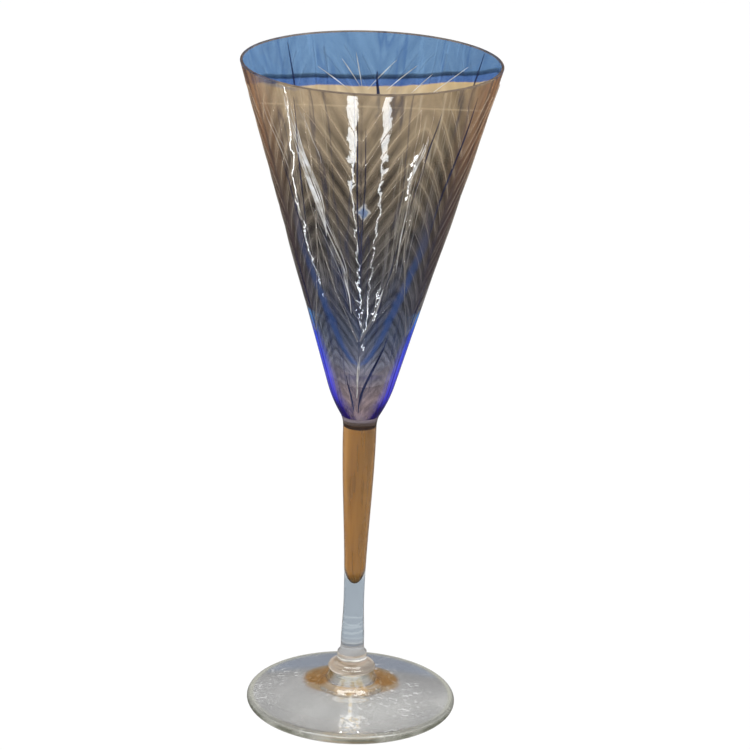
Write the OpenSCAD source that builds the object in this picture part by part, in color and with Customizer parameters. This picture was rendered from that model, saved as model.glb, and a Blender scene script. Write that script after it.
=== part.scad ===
// Stemmed champagne flute: a conical bowl with a thick base, fused through a
// small button to a cored stem, which stands on a collar and a wide disc foot.
// Every piece is turned about the Z axis. Millimetres, table at z = 0.

/* [Overall] */
// Height from the table to the rim
height = 230; // [200:1:280]
// Height of the fused joint under the bowl
bowl_base_z = 107; // [90:1:130]

/* [Bowl] */
// Outer diameter at the rim
rim_d = 86.6; // [60:0.2:110]
// Outer diameter where the straight cone ends and the base rounds in
shoulder_d = 22.8; // [19:0.2:30]
// Height of the shoulder above the fused joint
shoulder_h = 11; // [8:0.5:14]
// Diameter of the bowl's fused face
bowl_base_d = 13.2; // [10:0.2:16]
// Wall thickness at the rim
rim_wall = 1.0; // [0.8:0.1:2.5]
// Wall thickness where the inside starts to round in
low_wall = 3.2; // [2:0.1:4]
// Thickness of solid glass under the inside of the bowl
solid_base = 12.5; // [9:0.5:18]
// Height over which the inside rounds in to its bottom
well_h = 12.5; // [8:0.5:18]

/* [Button] */
// Height of the button between the bowl and the stem
button_h = 4; // [3:0.25:8]

/* [Stem] */
// Stem diameter under the button
stem_top_d = 11.4; // [9:0.2:14]
// Stem diameter at its narrowest
waist_d = 7.1; // [6:0.1:9]
// Height of the narrowest place above the collar
waist_h = 19.5; // [14:0.5:26]
// Stem diameter just above the flare at its lower end
ankle_d = 8.1; // [7:0.1:10]
// Stem diameter on the collar
stem_end_d = 10.2; // [9:0.1:12]
// Height of the flare at the lower end
flare_h = 2.6; // [2:0.1:6]

/* [Core] */
// Length of the coloured core, down from the button
core_len = 58; // [40:1:62]
// Length of the core's round lower end
core_tip = 7; // [2.5:0.5:12]
// Clear glass round the core at its top
casing_top = 1.8; // [1.2:0.1:2.6]
// Clear glass round the core at its lower end
casing_low = 1.25; // [0.9:0.05:1.8]
// Space between the core and its pocket, none in fused glass
core_gap = 0; // [0:0.01:0.1]

/* [Collar] */
// Height of the straight neck at the top of the collar
neck_h = 1.5; // [0.5:0.1:2]
// Diameter of the bead round the collar
collar_d = 16.4; // [14:0.2:20]
// Height of the collar
collar_h = 6.5; // [5:0.25:9]
// Height of the bead
bead_h = 2.2; // [1.6:0.1:4]

/* [Foot] */
// Diameter of the foot
foot_d = 72.6; // [58:0.2:90]
// Thickness of the foot's rounded edge
foot_lip = 2.9; // [2:0.1:4]
// Height of the foot under the collar
foot_rise = 12.5; // [10:0.5:16]
// Diameter where the flare under the collar runs out into the disc
flare_out_d = 26; // [22:0.5:32]
// Height of the disc where the flare runs out
flare_out_h = 6.5; // [5.5:0.1:8]
// Height of the hollow under the foot
foot_hollow = 2.5; // [1:0.25:4]
// Width of the flat ring that rests on the table
land_w = 2.2; // [1.5:0.1:6]

/* [Hidden] */
$fn = 96;
// Smoothness of the curves
curve_n = 14;
arc_n = 8;

collar_top_z = foot_rise + collar_h;
stem_top_z = bowl_base_z - button_h;
waist_z = collar_top_z + waist_h;
core_end_z = stem_top_z - core_len;
bead_in_r = (collar_d - bead_h) / 2;
seat_r = bead_in_r + bead_h / 4;
shoulder_z = bowl_base_z + shoulder_h;
inside_z = bowl_base_z + solid_base;
well_z = inside_z + well_h;
lip_in_r = (foot_d - foot_lip) / 2;
land_in_r = lip_in_r - land_w;

// A curve from a to c that leaves and arrives along the lines to b
function curve(a, b, c, n = curve_n) =
    [for (i = [0:n]) let (t = i / n) (1 - t) * (1 - t) * a + 2 * t * (1 - t) * b + t * t * c];

// An arc round (cr, cz) from angle a0 to angle a1
function arc(cr, cz, r, a0, a1, n = arc_n) =
    [for (i = [0:n]) let (a = a0 + (a1 - a0) * i / n) [cr + r * cos(a), cz + r * sin(a)]];

// A smooth step from 0 to 1
function ease(t) = (1 - cos(180 * t)) / 2;

// Height of the top of the foot's disc at radius r
function disc_z(r) =
    foot_lip + (flare_out_h - foot_lip) * (lip_in_r - r) / (lip_in_r - flare_out_d / 2);

// Outside radius of the bowl's straight cone at height z
function cone_r(z) =
    shoulder_d / 2 + (rim_d - shoulder_d) / 2 * (z - shoulder_z) / (height - rim_wall / 2 - shoulder_z);

// Wall thickness of the bowl, thicker towards its base
function wall(z) =
    rim_wall + (low_wall - rim_wall) * (height - rim_wall / 2 - z) / (height - rim_wall / 2 - well_z);

// Inside radius of the bowl's cone at height z
function inside_r(z) = cone_r(z) - wall(z);

// Outside radius of the stem at height z
function stem_r(z) = z > waist_z
    ? (waist_d + (stem_top_d - waist_d) * ease((z - waist_z) / (stem_top_z - waist_z))) / 2
    : (waist_d + (ankle_d - waist_d) * ease((waist_z - z) / (waist_h - flare_h))) / 2;

// Clear glass round the core at height z
function casing(z) = casing_low + (casing_top - casing_low) * (z - core_end_z) / core_len;

// Radius of the core at height z, with a round lower end
function core_r(z) = stem_r(z) - casing(z);

// Outline of the core, grown by g on every side but its top
function core_outline(g) = concat(
    [[0, stem_top_z], [core_r(stem_top_z) + g, stem_top_z]],
    [for (i = [1:curve_n]) let (z = stem_top_z - (core_len - core_tip) * i / curve_n)
        [core_r(z) + g, z]],
    let (r = core_r(core_end_z + core_tip))
    [for (i = [1:arc_n]) let (a = 90 * i / arc_n)
        [(r + g) * cos(a), core_end_z + core_tip - (core_tip + g) * sin(a)]]);

// The cup: a straight cone, a rounded lip, a round inside and a solid base
module bowl() {
    lip = rim_wall / 2;
    lip_z = height - lip;
    color([0.30, 0.45, 0.68, 0.6])
    rotate_extrude()
    polygon(concat(
        [[0, bowl_base_z]],
        curve([bowl_base_d / 2, bowl_base_z],
              [cone_r(bowl_base_z + shoulder_h / 2), bowl_base_z + shoulder_h / 2],
              [shoulder_d / 2, shoulder_z]),
        arc(rim_d / 2 - lip, lip_z, lip, 0, 180),
        curve([inside_r(well_z), well_z], [inside_r(inside_z), inside_z], [0, inside_z])));
}

// The small gather of clear glass that joins the bowl to the stem
module bowl_button() {
    color([0.66, 0.66, 0.72, 0.6])
    rotate_extrude()
    polygon(concat(
        [[0, bowl_base_z]],
        curve([bowl_base_d / 2, bowl_base_z],
              [stem_top_d / 2 + (bowl_base_d - stem_top_d) / 12, bowl_base_z - button_h * 0.45],
              [stem_top_d / 2, stem_top_z]),
        [[0, stem_top_z]]));
}

// The clear drawn stem, with a pocket for the core and a flare at its lower end
module stem() {
    flare_z = collar_top_z + flare_h;
    color([0.62, 0.70, 0.76, 0.5])
    difference() {
        rotate_extrude()
        polygon(concat(
            [[0, stem_top_z]],
            [for (i = [0:2 * curve_n]) let (z = stem_top_z - (stem_top_z - waist_z) * i / (2 * curve_n))
                [stem_r(z), z]],
            [for (i = [1:curve_n - 1]) let (z = waist_z - (waist_z - flare_z) * i / curve_n)
                [stem_r(z), z]],
            curve([ankle_d / 2, flare_z],
                  [ankle_d / 2, collar_top_z + flare_h / 4],
                  [stem_end_d / 2, collar_top_z], arc_n),
            [[0, collar_top_z]]));
        rotate_extrude() polygon(core_outline(core_gap));
    }
}

// The coloured rod of glass cased in the upper stem
module stem_core() {
    color([0.72, 0.50, 0.24, 0.8])
    rotate_extrude()
    polygon(core_outline(0));
}

// The beaded collar between the stem and the foot
module stem_collar() {
    bead_z = foot_rise + bead_h / 2;
    color([0.74, 0.76, 0.76, 0.6])
    rotate_extrude()
    polygon(concat(
        [[0, foot_rise]],
        arc(bead_in_r, bead_z, bead_h / 2, -90, 90),
        curve([bead_in_r, foot_rise + bead_h],
              [stem_end_d / 2 + (bead_in_r - stem_end_d / 2) / 8, foot_rise + bead_h],
              [stem_end_d / 2, collar_top_z - neck_h], arc_n),
        [[stem_end_d / 2, collar_top_z]],
        [[0, collar_top_z]]));
}

// The disc foot: a concave rise, a rounded edge and a shallow hollow below
module foot() {
    color([0.70, 0.71, 0.74, 0.5])
    rotate_extrude()
    polygon(concat(
        [[0, foot_rise]],
        curve([seat_r, foot_rise],
              [seat_r + 0.9, disc_z(seat_r + 0.9)],
              [flare_out_d / 2, flare_out_h]),
        arc(lip_in_r, foot_lip / 2, foot_lip / 2, 80, -90),
        curve([land_in_r, 0], [land_in_r * 0.75, 0], [land_in_r / 2, foot_hollow / 2], arc_n),
        curve([land_in_r / 2, foot_hollow / 2], [land_in_r / 4, foot_hollow], [0, foot_hollow], arc_n)));
}

bowl();
bowl_button();
stem();
stem_core();
stem_collar();
foot();
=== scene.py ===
from math import atan2, cos, exp, hypot, log, pi, radians, sin

import bpy
from mathutils import Matrix


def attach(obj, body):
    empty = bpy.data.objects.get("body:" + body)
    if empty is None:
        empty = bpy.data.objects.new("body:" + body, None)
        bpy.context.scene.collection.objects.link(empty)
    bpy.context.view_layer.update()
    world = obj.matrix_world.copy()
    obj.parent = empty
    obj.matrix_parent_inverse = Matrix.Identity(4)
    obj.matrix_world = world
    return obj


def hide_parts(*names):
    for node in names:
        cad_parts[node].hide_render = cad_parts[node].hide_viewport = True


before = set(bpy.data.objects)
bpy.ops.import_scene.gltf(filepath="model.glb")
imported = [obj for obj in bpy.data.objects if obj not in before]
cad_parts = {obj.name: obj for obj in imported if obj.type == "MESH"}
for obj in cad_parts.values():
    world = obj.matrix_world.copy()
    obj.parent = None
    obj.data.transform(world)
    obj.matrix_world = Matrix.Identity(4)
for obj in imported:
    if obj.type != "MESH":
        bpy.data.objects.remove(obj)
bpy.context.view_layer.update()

# ---------------------------------------------------------------- Studio
# A long lens about a metre away, looking down on the glass and rolled a little,
# over a wide pale floor, under an even white sky.
camera_data = bpy.data.cameras.new("studio_camera")
camera_data.lens, camera_data.sensor_width = 156.5, 36.0
camera = bpy.data.objects.new("studio_camera", camera_data)
bpy.context.scene.collection.objects.link(camera)
camera.matrix_world = (
    Matrix.Translation((0.0, -1.0406, 0.4880))
    @ Matrix.Rotation(radians(-0.251), 4, "Z")
    @ Matrix.Rotation(radians(90.0 - 19.42), 4, "X")
    @ Matrix.Rotation(radians(2.045), 4, "Z")
)
bpy.context.scene.camera = camera

bpy.ops.object.select_all(action="DESELECT")
bpy.ops.mesh.primitive_plane_add(size=8.0, location=(0, 0, -0.0001))
floor = bpy.context.object
floor.name = "studio_floor"
floor_paint = bpy.data.materials.new("pale_floor_paint")
floor_paint.use_nodes = True
paint = floor_paint.node_tree.nodes["Principled BSDF"]
paint.inputs["Roughness"].default_value = 0.9
paint.inputs["Specular IOR Level"].default_value = 0.1
floor.data.materials.append(floor_paint)


def in_polish(tree, plain, rim_highlight, socket):
    """Feeds a colour that is plain to the eye and to the light, and dimmer where the glass mirrors it."""
    path = tree.nodes.new("ShaderNodeLightPath")
    mirrored = tree.nodes.new("ShaderNodeMath")
    mirrored.operation = "SUBTRACT"
    mirrored.use_clamp = True
    tree.links.new(path.outputs["Is Reflection Ray"], mirrored.inputs[0])
    tree.links.new(path.outputs["Is Diffuse Ray"], mirrored.inputs[1])
    mix = tree.nodes.new("ShaderNodeMix")
    mix.data_type = "RGBA"
    mix.inputs[6].default_value = (*plain, 1)
    mix.inputs[7].default_value = (*rim_highlight, 1)
    tree.links.new(mirrored.outputs[0], mix.inputs[0])
    tree.links.new(mix.outputs[2], socket)


in_polish(floor_paint.node_tree, (0.95, 0.95, 0.95), (0.10, 0.09, 0.085), paint.inputs["Base Color"])

sky = bpy.data.worlds.new("studio_sky")
bpy.context.scene.world = sky
sky.use_nodes = True
in_polish(sky.node_tree, (1.0, 1.0, 1.0), (0.12, 0.11, 0.10), sky.node_tree.nodes["Background"].inputs["Color"])
sky.node_tree.nodes["Background"].inputs["Strength"].default_value = 1.08

scene = bpy.context.scene
scene.view_settings.view_transform = "Standard"
scene.cycles.max_bounces = 24
scene.cycles.transmission_bounces = 24
scene.cycles.transparent_max_bounces = 24
scene.cycles.glossy_bounces = 8
scene.cycles.diffuse_bounces = 4


cup_only = bpy.data.collections.new("lit_cup")
foot_only = bpy.data.collections.new("lit_foot")


def softbox(name, place, tilt, turn, width, length, power, lit):
    """A small oval softbox that shows only in the polish of the pieces it lights."""
    data = bpy.data.lights.new(name, "AREA")
    data.shape, data.size, data.size_y, data.energy = "ELLIPSE", width, length, power
    data.color = (0.92, 0.97, 1.0)
    lamp = bpy.data.objects.new(name, data)
    bpy.context.scene.collection.objects.link(lamp)
    lamp.matrix_world = (
        Matrix.Translation(place)
        @ Matrix.Rotation(radians(turn), 4, "Z")
        @ Matrix.Rotation(radians(tilt), 4, "X")
    )
    lamp.light_linking.receiver_collection = lit
    lamp.visible_camera = lamp.visible_diffuse = lamp.visible_transmission = False


# Strips just over the floor, aimed up at the cup, draw the long streaks down its front.
STRIP_HEIGHT = 0.004
for name, x, y, turn, width, length, power in (
    ("left_wide_strip", -0.082, -0.250, -18, 0.046, 0.100, 0.175),
    ("left_long_strip", -0.088, -0.255, -22, 0.011, 0.170, 0.085),
    ("left_thin_strip", -0.0295, -0.1545, -46, 0.0010, 0.086, 0.019),
    ("left_leaf_strip", -0.298, 0.020, -36, 0.006, 0.110, 0.045),
    ("left_low_strip", -0.228, 0.018, 45, 0.003, 0.110, 0.022),
    ("right_wide_strip", 0.076, -0.252, 20, 0.034, 0.096, 0.115),
    ("right_long_strip", 0.083, -0.252, 29, 0.009, 0.184, 0.070),
    ("right_thin_strip", 0.025, -0.156, 34, 0.0010, 0.076, 0.016),
    ("right_leaf_strip", 0.183, -0.142, -81, 0.009, 0.036, 0.032),
    ("right_low_strip", 0.065, -0.133, 87, 0.0018, 0.036, 0.011),
):
    softbox(name, (x, y, STRIP_HEIGHT), 180, turn, width, length, power, cup_only)
# A window, its post and an overhead box light the foot and the collar.
softbox("foot_window", (0.0, 0.407, 0.422), -47.2, 0, 0.034, 0.014, 0.055, foot_only)
softbox("foot_window_post", (0.0, 0.417, 0.407), -47.2, 0, 0.010, 0.024, 0.014, foot_only)
softbox("overhead_box", (0.0, -0.05, 0.80), 0, 0, 0.900, 0.600, 12.0, foot_only)


# ---------------------------------------------------------------- Foot
# The cast disc foot: clear, lightly smoked crystal, pressed thin at its edge and
# hollow underneath, with a fire-polished rim. It is fused to the collar above.
def curve(a, b, c, n=16):
    """Points from a to c that leave and arrive along the lines to b."""
    return [
        tuple((1 - t) ** 2 * a[i] + 2 * t * (1 - t) * b[i] + t * t * c[i] for i in (0, 1))
        for t in (k / n for k in range(n + 1))
    ]


def arc(r, z, size, start, end, n=10):
    """Points on an arc about (r, z), from one angle to the other."""
    turns = [radians(start + (end - start) * k / n) for k in range(n + 1)]
    return [(r + size * cos(turn), z + size * sin(turn)) for turn in turns]


def turn_glass(name, outline, around=192):
    """Turns a solid from its outline of (radius, height) in millimetres, from one end of its axis to the other."""
    bpy.ops.object.select_all(action="DESELECT")
    radius, height = outline[0]
    bpy.ops.mesh.primitive_circle_add(
        vertices=around, radius=radius / 1000, fill_type="NGON", location=(0, 0, height / 1000)
    )
    piece = bpy.context.object
    piece.name = piece.data.name = name
    bpy.ops.object.transform_apply(location=True, rotation=True, scale=True)
    bpy.ops.object.mode_set(mode="EDIT")
    bpy.ops.mesh.select_mode(type="EDGE")
    bpy.ops.mesh.select_all(action="SELECT")
    for r, z in outline[1:]:
        bpy.ops.mesh.extrude_edges_move(TRANSFORM_OT_translate={"value": (0, 0, (z - height) / 1000)})
        k = r / radius
        bpy.ops.transform.resize(value=(k, k, 1), center_override=(0, 0, z / 1000))
        radius, height = r, z
    bpy.ops.mesh.edge_face_add()
    bpy.ops.mesh.select_all(action="SELECT")
    bpy.ops.mesh.normals_make_consistent(inside=False)
    bpy.ops.object.mode_set(mode="OBJECT")
    bpy.ops.object.shade_smooth_by_angle(angle=radians(50))
    return piece


class Glass:
    """A Principled glass whose colour and polish come from nodes on Object coordinates."""

    def __init__(self, name, clear, rough, ior=1.52):
        self.material = bpy.data.materials.new(name)
        self.material.use_nodes = True
        self.tree = self.material.node_tree
        self.shader = self.tree.nodes["Principled BSDF"]
        self.shader.inputs["IOR"].default_value = ior
        self.shader.inputs["Transmission Weight"].default_value = clear
        self.clear = clear
        self.shader.inputs["Roughness"].default_value = rough
        self.place = self.add("TexCoord").outputs["Object"]
        split = self.add("SeparateXYZ")
        self.link(self.place, split.inputs[0])
        self.x, self.y, self.z = split.outputs
        # Where a point lies round the cup's cone, and a little of its height.
        size = self.line(self.z, 0.286, -0.0224)
        ring = self.add("CombineXYZ")
        self.link(self.math("DIVIDE", self.x, size), ring.inputs[0])
        self.link(self.math("DIVIDE", self.y, size), ring.inputs[1])
        self.link(self.times(self.z, 3.0), ring.inputs[2])
        self.around = ring.outputs[0]

    def add(self, kind, **settings):
        node = self.tree.nodes.new("ShaderNode" + kind)
        for key, value in settings.items():
            setattr(node, key, value)
        return node

    def laid(self, name):
        """A layer of places laid on the piece's own surface, whole and split in two."""
        layer = self.add("UVMap", uv_map=name).outputs[0]
        split = self.add("SeparateXYZ")
        self.link(layer, split.inputs[0])
        return layer, split.outputs[0], split.outputs[1]

    def link(self, a, b):
        self.tree.links.new(a, b)

    def math(self, operation, *values, clamp=False):
        node = self.add("Math", operation=operation, use_clamp=clamp)
        for socket, value in zip(node.inputs, values):
            if isinstance(value, (int, float)):
                socket.default_value = value
            else:
                self.link(value, socket)
        return node.outputs[0]

    def times(self, a, b, clamp=False):
        return self.math("MULTIPLY", a, b, clamp=clamp)

    def plus(self, a, b, clamp=False):
        return self.math("ADD", a, b, clamp=clamp)

    def less(self, a, b, clamp=False):
        return self.math("SUBTRACT", a, b, clamp=clamp)

    def most(self, a, b):
        return self.math("MAXIMUM", a, b)

    def size(self, a):
        return self.math("ABSOLUTE", a)

    def line(self, value, slope, start):
        return self.math("MULTIPLY_ADD", value, slope, start)

    def fade(self, value, slope, start):
        """The same straight line, kept between 0 and 1."""
        return self.math("MULTIPLY_ADD", value, slope, start, clamp=True)

    def reach(self, a, b):
        """How far a point is from the middle, when it is a off one way and b the other."""
        return self.math("SQRT", self.plus(self.times(a, a), self.times(b, b)))

    def ramp(self, factor, stops):
        node = self.add("ValToRGB")
        bar = node.color_ramp.elements
        while len(bar) < len(stops):
            bar.new(0.5)
        for mark, (place, colour) in zip(bar, stops):
            mark.position = place
            mark.color = (*colour, 1)
        self.link(factor, node.inputs[0])
        return node.outputs["Color"]

    def noise(self, scale, detail=3, stretch=(1, 1, 1), rough=0.5, source=None, warp=0.0):
        spread = self.add("Mapping")
        spread.inputs["Scale"].default_value = stretch
        self.link(source or self.place, spread.inputs[0])
        node = self.add("TexNoise")
        node.inputs["Scale"].default_value = scale
        node.inputs["Detail"].default_value = detail
        node.inputs["Roughness"].default_value = rough
        node.inputs["Distortion"].default_value = warp
        self.link(spread.outputs[0], node.inputs["Vector"])
        return node.outputs["Fac"]

    def mix(self, factor, a, b, blend="MIX"):
        node = self.add("Mix", data_type="RGBA", blend_type=blend)
        for socket, value in ((node.inputs[0], factor), (node.inputs[6], a), (node.inputs[7], b)):
            if isinstance(value, (int, float)):
                socket.default_value = value
            elif isinstance(value, tuple):
                socket.default_value = (*value, 1)
            else:
                self.link(value, socket)
        return node.outputs[2]

    def dyed(self, a, b):
        return self.mix(1.0, a, b, "MULTIPLY")

    def colour(self, value):
        self.link(value, self.shader.inputs["Base Color"])

    def aslant(self, start, end):
        """From 0 where the glass is seen square on, to 1 where it turns away to its edge."""
        node = self.add("LayerWeight")
        node.inputs["Blend"].default_value = 0.5
        return self.fade(node.outputs["Facing"], 1 / (end - start), -start / (end - start))

    def dense(self, factor, clear):
        """Lets less light through where the factor is high."""
        self.link(self.line(factor, clear - self.clear, self.clear), self.shader.inputs["Transmission Weight"])

    def ripple(self, height, strength, distance):
        node = self.add("Bump")
        node.inputs["Strength"].default_value = strength
        node.inputs["Distance"].default_value = distance
        self.link(height, node.inputs["Height"])
        self.link(node.outputs[0], self.shader.inputs["Normal"])


NECK_Z = 12.5
SHOULDER = (13.0, 6.5)
EDGE = 1.45

foot = turn_glass(
    "foot_disc",
    [(3.0, NECK_Z)]
    + curve((7.6, NECK_Z), (8.5, 7.25), SHOULDER, 18)
    + [(SHOULDER[0] + 21.85 * k / 12, SHOULDER[1] - 3.6 * k / 12) for k in range(1, 12)]
    + arc(34.85, EDGE, EDGE, 80, -90, 14)
    + curve((32.65, 0.0), (24.5, 0.0), (16.3, 1.25), 10)
    + curve((16.3, 1.25), (8.15, 2.5), (0.05, 2.5), 10)[1:],
)
g = Glass("smoked_foot_crystal", 0.9, 0.02)
tint = g.ramp(
    g.noise(45, 4, warp=0.6),
    [(0.25, (0.46, 0.46, 0.465)), (0.55, (0.54, 0.54, 0.54)), (0.8, (0.66, 0.66, 0.65))],
)
# The glass is darker towards the back.
FOOT_WIDTH = 0.0726
tint = g.dyed(tint, g.ramp(g.line(g.y, 1 / FOOT_WIDTH, 0.5), [
    (0.10, (1.0, 1.0, 0.98)), (0.33, (0.93, 0.93, 0.91)), (0.47, (0.86, 0.86, 0.85)),
    (0.60, (0.73, 0.73, 0.73)), (0.74, (0.61, 0.61, 0.60)), (0.92, (0.58, 0.59, 0.61)),
]))
# A painted reflection of the stem's amber core lies as a pool in the glass behind the collar.
CORE_REFLECTION_WIDTH, CORE_REFLECTION_DEPTH = 0.0165, 0.0120
across = g.times(g.x, 1 / CORE_REFLECTION_WIDTH)
along = g.line(g.y, 1 / CORE_REFLECTION_DEPTH, -0.52)
core_reflection_reach = g.reach(across, along)
painted_core_reflection = g.fade(g.line(g.noise(70, 2), 0.16, core_reflection_reach), -9.0, 10.2)
amber = g.ramp(g.noise(90, 3), [(0.3, (0.26, 0.135, 0.04)), (0.7, (0.40, 0.215, 0.075))])
# A pale band round the fire-polished edge is a painted highlight, and the back of the disc is a steel blue.
radius = g.reach(g.x, g.y)
rim_highlight = g.fade(radius, 1100.0, -36.9)
tint = g.mix(g.fade(g.y, 220.0, -2.9), tint, (0.30, 0.335, 0.40))
# Small pale patches scattered over the foot are painted glints.
painted_glints = g.times(g.fade(g.noise(520, 4, (1.0, 1.6, 1.0), 0.6), 14.0, -7.7), g.fade(g.noise(75, 2), 9.0, -4.4))
tint = g.mix(g.times(painted_glints, 0.8), g.mix(painted_core_reflection, tint, amber), (0.85, 0.85, 0.84))
# Three painted highlights in front of the collar, laid in the colour of the glass:
# a patch, a thin line and a dotted square.
near = g.times(g.plus(g.y, 0.0090), 1 / 0.0030)
wide = g.times(g.x, 1 / 0.0074)
painted_patch_reach = g.reach(near, wide)
painted_patch = g.fade(g.line(g.noise(190, 3), 0.35, painted_patch_reach), -5.0, 5.4)
line = g.times(
    g.fade(g.size(g.x), -1600.0, 1.5),
    g.times(g.fade(g.y, -500.0, -4.5), g.fade(g.y, 500.0, 14.0)),
)
pale = g.ramp(
    g.noise(420, 3),
    [(0.35, (0.80, 0.62, 0.34)), (0.5, (0.97, 0.95, 0.90)), (0.65, (1.0, 1.0, 1.0))],
)
square = g.most(g.times(g.size(g.x), 1 / 0.0040), g.times(g.size(g.plus(g.y, 0.0265)), 1 / 0.0042))
painted_dots = g.times(g.fade(square, -6.0, 6.0), g.fade(g.noise(950, 2), 7.0, -3.0))
painted_marks = g.most(g.times(painted_dots, 0.85), g.times(line, 0.6))
tint = g.mix(g.most(painted_patch, painted_marks), tint, pale)
# A broken dark outline of painted shade runs along the outermost edge.
painted_rim_shade = g.times(g.fade(radius, 2500.0, -89.6), g.fade(g.noise(60, 2), 6.0, -2.2))
g.colour(g.mix(painted_rim_shade, g.mix(rim_highlight, tint, (0.55, 0.55, 0.49)), (0.16, 0.165, 0.125)))
g.dense(g.most(g.times(rim_highlight, 0.6), g.most(painted_marks, painted_glints)), 0.5)
g.ripple(g.noise(60, 2), 0.04, 0.0006)
foot.data.materials.append(g.material)
foot_only.objects.link(foot)
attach(foot, "root")
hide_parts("foot")

# ---------------------------------------------------------------- Collar
# The beaded collar, a ring of clear crystal tooled round while it was hot, fused
# to the foot below and to the end of the stem above.
collar = turn_glass(
    "beaded_collar",
    [(3.0, 12.46)]
    + arc(7.1, 13.6, 1.1, -88, 88, 14)
    + curve((7.1, 14.7), (5.35, 14.7), (5.1, 17.5), 8)
    + [(5.1, 19.0)],
)
g = Glass("clear_collar_crystal", 0.8, 0.02)
# Its colour runs in pale and dark rings round the collar: painted highlights and painted shade.
g.colour(g.ramp(g.noise(170, 4, (0.35, 0.35, 3.4)), [
    (0.32, (0.12, 0.11, 0.08)), (0.42, (0.55, 0.52, 0.45)), (0.50, (0.97, 0.96, 0.93)), (0.7, (1.0, 1.0, 0.98)),
]))
g.ripple(g.noise(260, 3), 0.4, 0.0007)
collar.data.materials.append(g.material)
foot_only.objects.link(collar)
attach(collar, "root")
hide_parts("stem_collar")

# ---------------------------------------------------------------- Stem
# The drawn stem of clear crystal, narrowest a little above the collar, cased
# over an amber core that stops in a round end two thirds of the way down.
WAIST_Z, STEM_TOP, STEM_FOOT = 38.5, 103.0, 21.6
CORE_END, CORE_TIP = 45.0, 7.0


def ease(t):
    return (1 - cos(pi * t)) / 2


def stem_radius(z):
    if z > WAIST_Z:
        return (7.1 + 4.3 * ease((z - WAIST_Z) / 64.5)) / 2
    return (7.1 + 1.0 * ease((WAIST_Z - z) / 16.9)) / 2


def core_radius(z):
    return stem_radius(z) - 1.25 - 0.55 * (z - CORE_END) / 58.0


def core_outline(slack):
    """The core from its top down to its round end, larger all round by the slack."""
    heights = [STEM_TOP - (58.0 - CORE_TIP) * k / 28 for k in range(29)]
    r = core_radius(CORE_END + CORE_TIP)
    turns = [pi / 2 * k / 18 for k in range(1, 19)]
    end = [((r + slack) * cos(turn), CORE_END + CORE_TIP - (CORE_TIP + slack) * sin(turn)) for turn in turns]
    end[-1] = (end[-1][0] + 0.03, end[-1][1])
    return [(core_radius(z) + slack, z) for z in heights] + end


stem = turn_glass(
    "drawn_stem",
    list(reversed(core_outline(-0.04)))
    + [(stem_radius(z), z) for z in (STEM_TOP - 64.5 * k / 40 for k in range(41))]
    + [(stem_radius(z), z) for z in (WAIST_Z - 16.9 * k / 14 for k in range(1, 14))]
    + curve((4.05, STEM_FOOT), (4.05, 19.65), (5.1, 18.96), 10),
    128,
)
g = Glass("clear_stem_crystal", 1.0, 0.015)
smoky = g.ramp(g.noise(90, 3, (1, 1, 0.15)), [(0.3, (0.31, 0.36, 0.41)), (0.7, (0.42, 0.48, 0.54))])
# Faint pale rings low on the stem.
RING_GAP = 0.0036
low = g.times(g.fade(g.z, -400.0, 13.4), g.fade(g.z, 400.0, -8.6))
rings = g.math("SINE", g.line(g.noise(150, 3), 9.0, g.times(g.z, 2 * pi / RING_GAP)))
smoky = g.mix(g.times(low, g.fade(rings, 1.6, -1.0)), smoky, (0.68, 0.76, 0.80))
clear_above = g.fade(g.z, 400.0, -18.6)
grey_below = g.fade(g.z, -500.0, 11.6)
g.colour(g.mix(grey_below, g.mix(clear_above, smoky, (0.93, 0.90, 0.86)), (0.50, 0.51, 0.52)))
g.dense(grey_below, 0.62)
g.ripple(g.noise(120, 2, (1, 1, 0.25)), 0.15, 0.0004)
stem.data.materials.append(g.material)
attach(stem, "root")
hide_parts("stem")

# ---------------------------------------------------------------- Core
# The core is a rod of amber glass, drawn together with the clear glass round it,
# so that it fills its pocket with no gap. Painted light makes it paler on one side, painted shade darker on the
# other.
core = turn_glass("amber_core", core_outline(0.0), 96)
g = Glass("amber_core_glass", 0.5, 0.08)
amber = g.ramp(
    g.noise(230, 4, (1, 1, 0.06)),
    [(0.3, (0.19, 0.09, 0.02)), (0.5, (0.34, 0.17, 0.035)), (0.7, (0.52, 0.28, 0.07))],
)
# Lit and shaded copies of the amber, mixed across the core: painted light and shade.
amber = g.mix(g.fade(g.x, 260.0, 0.5), g.dyed(amber, (1.25, 1.22, 1.15)), g.dyed(amber, (0.86, 0.86, 0.86)))
# Painted shade darkens it where it turns away from the eye, and more so at its round end.
painted_edge_shade = g.times(g.aslant(0.28, 0.58), g.fade(g.z, -500.0, 25.5))
g.colour(g.mix(g.most(painted_edge_shade, g.times(g.aslant(0.50, 0.90), 0.7)), amber, (0.03, 0.018, 0.015)))
core.data.materials.append(g.material)
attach(core, "root")
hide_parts("stem_core")

# ---------------------------------------------------------------- Button
# The small gather of clear crystal, faintly mauve, that joins bowl to stem.
button = turn_glass(
    "joining_button",
    [(3.0, 102.96)] + list(reversed(curve((6.6, 107.0), (5.85, 105.2), (5.7, 102.96), 12))),
    128,
)
g = Glass("mauve_button_crystal", 1.0, 0.03)
mauve = g.ramp(
    g.noise(170, 3, (0.4, 0.4, 2.5)),
    [(0.3, (0.06, 0.045, 0.06)), (0.5, (0.15, 0.12, 0.135)), (0.7, (0.36, 0.31, 0.33))],
)
g.colour(g.mix(g.fade(g.z, -1500.0, 157.0), mauve, (0.045, 0.03, 0.02)))
button.data.materials.append(g.material)
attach(button, "root")
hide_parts("bowl_button")

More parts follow.
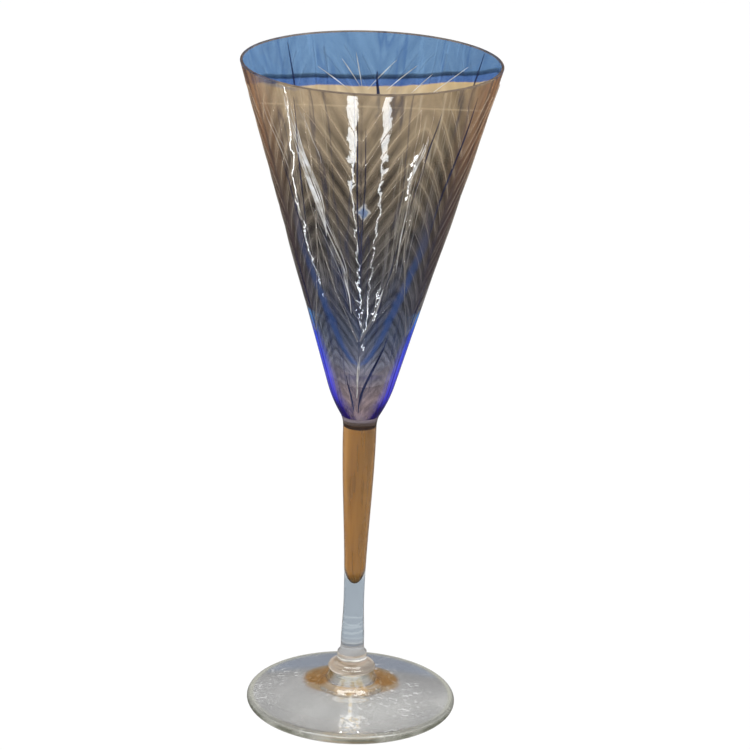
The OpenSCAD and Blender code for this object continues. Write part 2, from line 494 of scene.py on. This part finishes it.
# ---------------------------------------------------------------- Bowl
# The blown cup: a straight cone with a fire-polished rim, thicker towards the
# solid cobalt base. Its inside is washed steel blue above a slanting dip line.
CONE_FOOT, CONE_RISE = 118.0, 111.5
BASE_RADIUS, FLARE = 11.4, 31.9
RIM_Z = 229.5
WELL_DEPTH = 97.5


def cone_radius(z):
    return BASE_RADIUS + FLARE * (z - CONE_FOOT) / CONE_RISE


def wall(z):
    return 1.0 + 2.2 * (RIM_Z - z) / WELL_DEPTH


bowl = turn_glass(
    "blown_bowl",
    curve((6.6, 106.96), (cone_radius(112.5), 112.5), (BASE_RADIUS, CONE_FOOT), 14)
    + [(cone_radius(z), z) for z in (CONE_FOOT + 111.0 * k / 44 for k in range(1, 45))]
    + arc(42.8, RIM_Z, 0.5, 0, 180, 10)
    + [(cone_radius(z) - wall(z), z) for z in (RIM_Z - WELL_DEPTH * k / 44 for k in range(1, 44))]
    + curve((12.21, 132.0), (8.386, 119.5), (0.05, 119.5), 18),
)

# Leaf lines: the cup is pressed in panels, each a leaf with a spine and ribs. The
# panels meet at the point where the cone would end, if it went on down.
PANELS = 6
SPINE = radians(-4.0)
HALF = pi / PANELS
SLOPE = FLARE / CONE_RISE
APEX = CONE_FOOT - BASE_RADIUS * CONE_RISE / FLARE
CUP_REACH = 151.8
STEP = 0.066


def lift(u):
    """How far a rib climbs by the share u of the way from spine to edge, over the radius."""
    return HALF * (2.0 * u - 0.6 * u * u)


leaf = bowl.data.uv_layers.new(name="leaf_lines")
for loop in bowl.data.loops:
    x, y, z = (c * 1000 for c in bowl.data.vertices[loop.vertex_index].co)
    angle = (atan2(x, -y) - SPINE) % (2 * HALF)
    u = min(angle, 2 * HALF - angle) / HALF
    foot_z = (z - APEX) * (1 - SLOPE * lift(u))
    leaf.data[loop.index].uv = (u, log(CUP_REACH / max(foot_z, 1.0)) / STEP)

swag = bowl.data.uv_layers.new(name="swag_lines")
for loop in bowl.data.loops:
    x, y, z = (c * 1000 for c in bowl.data.vertices[loop.vertex_index].co)
    angle = (atan2(x, -y) - SPINE) % pi
    swag.data[loop.index].uv = (min(angle, pi - angle) / (pi / 2), (z - 107.0) / 123.0)

outer_glass = Glass("smoked_outer_glass", 0.82, 0.03)
base_glass = Glass("cobalt_base_glass", 0.82, 0.03)
inner_glass = Glass("blue_inner_glass", 0.85, 0.03)
rim_glass = Glass("navy_rim_glass", 0.8, 0.04)

CUP_BASE, CUP_HEIGHT = 0.107, 0.123
SHADED_STRIPE, LIT_STRIPE = (0.20, 0.20, 0.22), (2.1, 2.0, 1.85)

for g in (outer_glass, base_glass):
    up = g.line(g.z, 1 / CUP_HEIGHT, -CUP_BASE / CUP_HEIGHT)
    smoke = g.ramp(up, [
        (0.0, (0.24, 0.185, 0.20)), (0.10, (0.17, 0.145, 0.17)), (0.18, (0.135, 0.145, 0.19)),
        (0.27, (0.072, 0.087, 0.12)), (0.36, (0.070, 0.072, 0.085)), (0.45, (0.058, 0.058, 0.064)),
        (0.57, (0.084, 0.079, 0.073)), (0.70, (0.135, 0.117, 0.092)), (0.80, (0.175, 0.152, 0.123)),
        (0.88, (0.21, 0.188, 0.160)), (1.0, (0.33, 0.300, 0.265)),
    ])
    # Soft stripes of painted light and shade follow the ribs.
    leaf_place, leaf_u, leaf_v = g.laid("leaf_lines")
    streaks = g.noise(1.0, 4, (1.6, 0.7, 1), 0.6, leaf_place)
    wave = g.math("SINE", g.line(streaks, 5.0, g.times(leaf_v, 2 * pi)))
    depth = g.times(g.fade(up, 5.0, -0.35), g.fade(up, -3.0, 3.2))
    shade = g.plus(g.line(g.times(wave, depth), 0.30, 0.5), g.line(streaks, 1.8, -0.9), clamp=True)
    body = g.mix(shade, g.dyed(smoke, SHADED_STRIPE), g.dyed(smoke, LIT_STRIPE))
    # One side of the cup is darker: painted shade.
    painted_flank_shade = g.times(g.fade(g.x, 45.0, -0.2), g.fade(up, 5.0, -1.8))
    body = g.mix(painted_flank_shade, body, g.dyed(body, (0.66, 0.64, 0.61)))
    # A fine pale line runs along each rib, and one level pale line across the front under the rim is a painted
    # reflection.
    rib_line = g.times(g.fade(wave, 9.0, -8.0), g.times(g.fade(up, 2.6, -1.5), g.fade(up, -8.0, 7.6)))
    painted_level_reflection = g.fade(g.size(g.line(g.y, 264.0, g.line(g.z, 1000.0, -214.5))), -2.2, 1.0)
    painted_level_reflection = g.times(painted_level_reflection, g.times(g.y, -80.0, clamp=True))
    body = g.mix(g.most(g.times(rib_line, 0.60), g.times(painted_level_reflection, 0.30)), body, (0.90, 0.80, 0.62))
    # Long dark veins run down the cup, and the leaves' spines are navy.
    veins = g.noise(3.2, 3, (1, 1, 1), 0.5, g.around)
    vein = g.less(1.0, g.times(g.size(g.less(veins, 0.5)), 50.0), clamp=True)
    spine_line = g.fade(g.line(veins, 0.05, leaf_u), -32.0, 2.0)
    navy = g.most(g.times(vein, 0.75), g.times(spine_line, g.times(depth, 0.85)))
    body = g.mix(navy, body, (0.012, 0.02, 0.075))
    # Feathery pale streaks along the leaves' edges are painted highlights.
    highlight_streaks = g.noise(7.0, 4, (1, 1, 0.35), 0.65, g.around)
    pale = g.times(
        g.fade(g.size(g.less(highlight_streaks, 0.5)), -38.0, 1.0),
        g.times(g.fade(leaf_u, 3.0, -1.2), g.fade(up, 5.0, -1.6)),
    )
    body = g.mix(g.times(pale, 0.5), body, (0.70, 0.68, 0.62))
    # Two cobalt swags, front and back, that meet in a point above the solid base.
    _, swag_turn, swag_up = g.laid("swag_lines")
    climb = g.math("POWER", g.fade(swag_up, 123 / 41.5, -22.5 / 41.5), 0.5)
    inside = g.line(climb, 47 / 90, g.line(streaks, 0.10, -0.05))
    off_line = g.less(swag_turn, inside)
    cobalt = g.times(
        g.fade(g.size(off_line), -22.0, 1.5),
        g.times(g.fade(swag_up, -4.5, 3.0), g.fade(swag_up, 60.0, -10.4)),
    )
    body = g.mix(g.times(cobalt, 0.75), body, (0.016, 0.065, 0.26))
    # A small bright diamond in the front of the cup is a painted glint.
    glint_reach = g.plus(g.times(g.size(g.plus(g.x, 0.0011)), 340.0), g.times(g.size(g.less(g.z, 0.1875)), 290.0))
    glint_reach = g.plus(glint_reach, g.line(g.noise(420, 2), 1.2, -0.6))
    painted_diamond_glint = g.times(g.fade(glint_reach, -4.0, 4.0), g.times(g.y, -80.0, clamp=True))
    body = g.mix(painted_diamond_glint, body, g.ramp(
        glint_reach, [(0.3, (0.22, 0.40, 0.85)), (0.55, (0.45, 0.66, 1.0)), (0.70, (0.95, 0.98, 1.0))]
    ))
    # Where the cup turns away to its edge its colour is painted light and shade: dark and grooved, orange-brown
    # near the rim, and a painted cobalt glow in the base.
    edge = g.ramp(up, [
        (0.0, (0.006, 0.0, 0.08)), (0.035, (0.008, 0.002, 0.16)), (0.065, (0.04, 0.035, 0.58)),
        (0.13, (0.085, 0.085, 0.97)), (0.26, (0.035, 0.10, 0.98)), (0.31, (0.08, 0.40, 1.0)),
        (0.325, (0.03, 0.015, 0.025)), (0.50, (0.035, 0.015, 0.018)), (0.68, (0.07, 0.03, 0.02)),
        (0.83, (0.26, 0.11, 0.04)), (1.0, (0.40, 0.19, 0.08)),
    ])
    grooves = g.noise(14.0, 2, (1, 1, 0.5), 0.5, g.around)
    edge = g.mix(g.fade(grooves, 5.0, -2.3), edge, g.dyed(edge, (0.28, 0.24, 0.36)))
    turned = g.aslant(0.42, 0.80)
    if g is base_glass:
        turned = g.plus(g.times(g.aslant(0.0, 1.0), 4.2), g.line(up, -4.6, -1.0), clamp=True)
    g.colour(g.mix(turned, body, edge))
    g.dense(g.most(turned, g.times(cobalt, 0.3)), 0.15)
    waves = g.plus(g.noise(70, 2), g.times(wave, 0.012))
    g.ripple(g.plus(waves, g.times(g.noise(330, 2), 0.10)), 0.5, 0.0008)

# The inside is smoky up to the slanting dip line, and washed steel blue above it.
g = inner_glass
up = g.line(g.z, 1 / CUP_HEIGHT, -CUP_BASE / CUP_HEIGHT)
dip = g.plus(g.line(g.x, -0.05, g.z), g.times(g.y, 0.28))
dip = g.plus(g.line(dip, 1000.0, -222.6), g.line(g.noise(45, 3), 4.0, -2.0))
below = g.ramp(up, [
    (0.0, (0.70, 0.70, 0.80)), (0.16, (0.70, 0.72, 0.80)), (0.25, (0.42, 0.48, 0.62)),
    (0.5, (0.62, 0.58, 0.54)), (0.78, (0.75, 0.66, 0.53)),
])
# The orange-tan band under the dip line is a painted reflection.
painted_lip_reflection = g.mix(g.times(g.y, 60.0, clamp=True), (0.90, 0.75, 0.53), (1.0, 0.70, 0.30))
below = g.mix(g.fade(up, 8.3, -6.5), below, painted_lip_reflection)
rays = g.noise(9.0, 3, (1, 1, 0.12), 0.5)
washed = g.mix(rays, (0.05, 0.17, 0.50), (0.17, 0.42, 0.80))
# The dark wavy line at the dip and the pale strips beside it are painted reflections.
painted_dip_reflection = g.ramp(g.times(dip, 0.1), [
    (0.0, (0.6, 0.6, 0.95)), (0.24, (0.5, 0.6, 0.9)), (0.30, (0.02, 0.05, 0.12)),
    (0.40, (0.2, 0.25, 0.3)), (0.46, (1, 1, 1)),
])
g.colour(g.mix(g.times(dip, 2.0, clamp=True), below, g.dyed(painted_dip_reflection, washed)))
g.dense(g.plus(g.fade(g.z, 150.0, -30.0), g.times(g.fade(g.z, -250.0, 31.5), 1.8)), 0.65)

g = rim_glass
g.colour(g.ramp(g.noise(200, 2), [(0.3, (0.12, 0.10, 0.11)), (0.7, (0.26, 0.21, 0.18))]))

for glass in (outer_glass, inner_glass, rim_glass, base_glass):
    bowl.data.materials.append(glass.material)
OUTER, INNER, RIM, BASE = range(4)
for face in bowl.data.polygons:
    x, y, z = (c * 1000 for c in face.center)
    inward = face.normal.x * x + face.normal.y * y < 0 or (hypot(x, y) < 9 and z > 119)
    face.material_index = RIM if z > 229.4 else INNER if inward else BASE if z < 146 else OUTER
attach(bowl, "root")
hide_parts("bowl")

# ---------------------------------------------------------------- Ribs
# The raised ribs of the leaves, pressed in the outside of the cup: from each
# spine they climb steeply and curve away to the panel's edge.
def on_cone(turn, z, proud):
    """A point on the outside of the cone, in metres."""
    r = (z - APEX) * SLOPE + proud
    return (r * sin(turn) / 1000, -r * cos(turn) / 1000, z / 1000)


def drawn_lines(name, lines, sides=2):
    """Turns lists of (point, half width in mm) into round rods of glass."""
    data = bpy.data.curves.new(name, "CURVE")
    data.dimensions = "3D"
    data.bevel_depth = 0.001
    data.bevel_resolution = sides
    data.use_fill_caps = True
    for line in lines:
        spline = data.splines.new("POLY")
        spline.points.add(len(line) - 1)
        for knot, (place, width) in zip(spline.points, line):
            knot.co = (*place, 1)
            knot.radius = width
    rods = bpy.data.objects.new(name, data)
    bpy.context.scene.collection.objects.link(rods)
    bpy.ops.object.select_all(action="DESELECT")
    rods.select_set(True)
    bpy.context.view_layer.objects.active = rods
    bpy.ops.object.convert(target="MESH")
    rods = bpy.context.object
    bpy.ops.object.shade_smooth()
    return rods


TOP_Z = 225.0
rib_lines = []
for panel in range(PANELS):
    spine = SPINE + 2 * HALF * panel
    for side in (-1, 1):
        for n in range(1, 15):
            start = CUP_REACH * exp(-STEP * (n + 0.15 * sin(2.3 * n + panel + side)))
            first, last = 0.08 + 0.07 * sin(5.1 * n + side), 0.85 + 0.14 * sin(3.7 * n + 2 * panel)
            line = []
            for k in range(11):
                u = first + (last - first) * k / 10
                z = APEX + start / (1 - SLOPE * lift(u))
                if z < TOP_Z:
                    width = (0.03 + 0.19 * (start / CUP_REACH) ** 2) * (0.4 if k in (0, 10) else 1)
                    line.append((on_cone(spine + side * HALF * u, z, 0.0), width))
            if len(line) > 2:
                rib_lines.append(line)
        # The leaf's outline.
        line = []
        for k in range(41):
            z = TOP_Z - 86.0 * k / 40
            turn = radians(33.0) * (1 - ((230.0 - z) / 92.0) ** 4)
            width = 0.22 + 0.12 * sin(0.21 * z + 2 * side)
            line.append((on_cone(spine + side * turn + 0.008 * sin(0.35 * z + panel), z, 0.0), width))
        rib_lines.append(line)
ribs = drawn_lines("leaf_ribs", rib_lines)
g = Glass("pale_rib_glass", 0.75, 0.06)
g.colour(g.mix(
    g.times(g.noise(120, 3), 0.45),
    g.ramp(g.line(g.z, 1 / CUP_HEIGHT, -CUP_BASE / CUP_HEIGHT), [
        (0.0, (0.20, 0.18, 0.24)), (0.4, (0.22, 0.21, 0.20)), (0.7, (0.42, 0.33, 0.22)), (1.0, (0.75, 0.58, 0.38)),
    ]),
    (0.9, 0.88, 0.85),
))
ribs.data.materials.append(g.material)
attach(ribs, "root")
for piece in (bowl, ribs):
    cup_only.objects.link(piece)

# ---------------------------------------------------------------- Threads
# Fine threads of navy glass, trailed down the outside of the cup while it was hot
# and marvered in: some from near the rim, some over the solid base, and three inside.
def on_cup(turn, z, sunk, inside=False):
    """A point just under the outside of the cup, or just proud of its inside, in metres."""
    if z < CONE_FOOT:
        t = (z - 106.96) / 11.04
        r = 6.6 * (1 - t) ** 2 + 2 * cone_radius(112.5) * t * (1 - t) + 11.4 * t * t
    else:
        r = cone_radius(z)
    r -= wall(z) + sunk if inside else sunk
    return (r * sin(turn) / 1000, -r * cos(turn) / 1000, z / 1000)


def trail(start, end, top, bottom, width, inside=False, bend=1.0):
    """A thread from one turn and height to another, thickest at its middle."""
    line = []
    for k in range(25):
        t = k / 24
        share = t + bend * (3 * t * t - 2 * t ** 3 - t)
        turn = radians(start + (end - start) * share) + 0.006 * bend * sin(9 * t + start)
        size = width * (0.10 + 0.90 * sin(pi * (0.06 + 0.88 * t)))
        line.append((on_cup(turn, top + (bottom - top) * t, 0.3 * size, inside), size))
    return line


thread_lines = [trail(*path) for path in (
    (118, 118.5, 229, 160, 0.50, True), (-137, -133, 228, 186, 0.36, True), (177, 175, 217, 196, 0.62, True),
    (-6.0, -5.0, 224, 160, 0.26), (-1.5, -3.0, 218, 158, 0.22), (33, 27, 222, 190, 0.26),
    (-36, -43, 226, 172, 0.26), (28, -4, 141, 110.5, 0.46), (-52, -47, 204, 170, 0.22),
    (55, 46.5, 225, 176, 0.40), (-22, -14, 125, 110.5, 0.30), (62, 60, 160, 134, 0.26),
    (-66, -62, 168, 138, 0.26), (22, 15, 176, 150, 0.18),
)]
threads = drawn_lines("navy_threads", thread_lines)
g = Glass("navy_thread_glass", 0.45, 0.05)
g.colour(g.ramp(g.noise(160, 3), [(0.3, (0.006, 0.010, 0.045)), (0.7, (0.03, 0.045, 0.13))]))
threads.data.materials.append(g.material)
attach(threads, "root")

# ---------------------------------------------------------------- Feathers
# Feathery trails of fine pale glass threads down the front of the cup are painted
# highlights, and a fan of them lies inside the back under the rim.
feather_lines = []
for start, end, top, bottom, width, strands in (
    (-40, -36, 227, 203, 0.12, 5), (-38, -27, 212, 182, 0.34, 11), (-32, -14, 192, 159, 0.11, 5),
    (-17, -12, 166, 150, 0.12, 3), (-57, -48, 218, 199, 0.10, 2), (-33, -26, 221, 204, 0.08, 2),
    (28, 23, 212, 197, 0.20, 5), (25, 24, 200, 166, 0.08, 3), (14, 10, 159, 147, 0.12, 3),
    (-4, -6, 131, 117, 0.24, 3),
):
    for k in range(strands):
        shift, drop = 1.5 * sin(2.4 * k + top), 0.16 * (top - bottom) * sin(1.7 * k)
        feather_lines.append(trail(
            start + shift, end + 0.5 * shift, min(top + drop, 226.0), bottom + drop,
            width * (0.7 + 0.3 * cos(3.1 * k)),
        ))
for start, end, top, bottom in (
    (208, 192, 219, 211), (195, 186, 221, 212), (188, 185, 223, 212), (168, 182, 221, 211),
    (157, 172, 220, 211), (148, 158, 218, 211), (127, 146, 223, 212),
):
    feather_lines.append(trail(start, end, top, bottom, 0.18, True, 0.0))
feathers = drawn_lines("pale_feathers", feather_lines)
g = Glass("pale_feather_glass", 0.35, 0.08)
g.colour(g.ramp(
    g.noise(260, 4), [(0.3, (0.36, 0.34, 0.31)), (0.5, (0.68, 0.67, 0.65)), (0.65, (0.95, 0.97, 1.0))]
))
feathers.data.materials.append(g.material)
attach(feathers, "root")

# Clear glass throws almost no shadow in a tent of light.
for piece in (foot, collar, stem, core, button, bowl, ribs, threads, feathers):
    piece.visible_shadow = piece.visible_diffuse = False
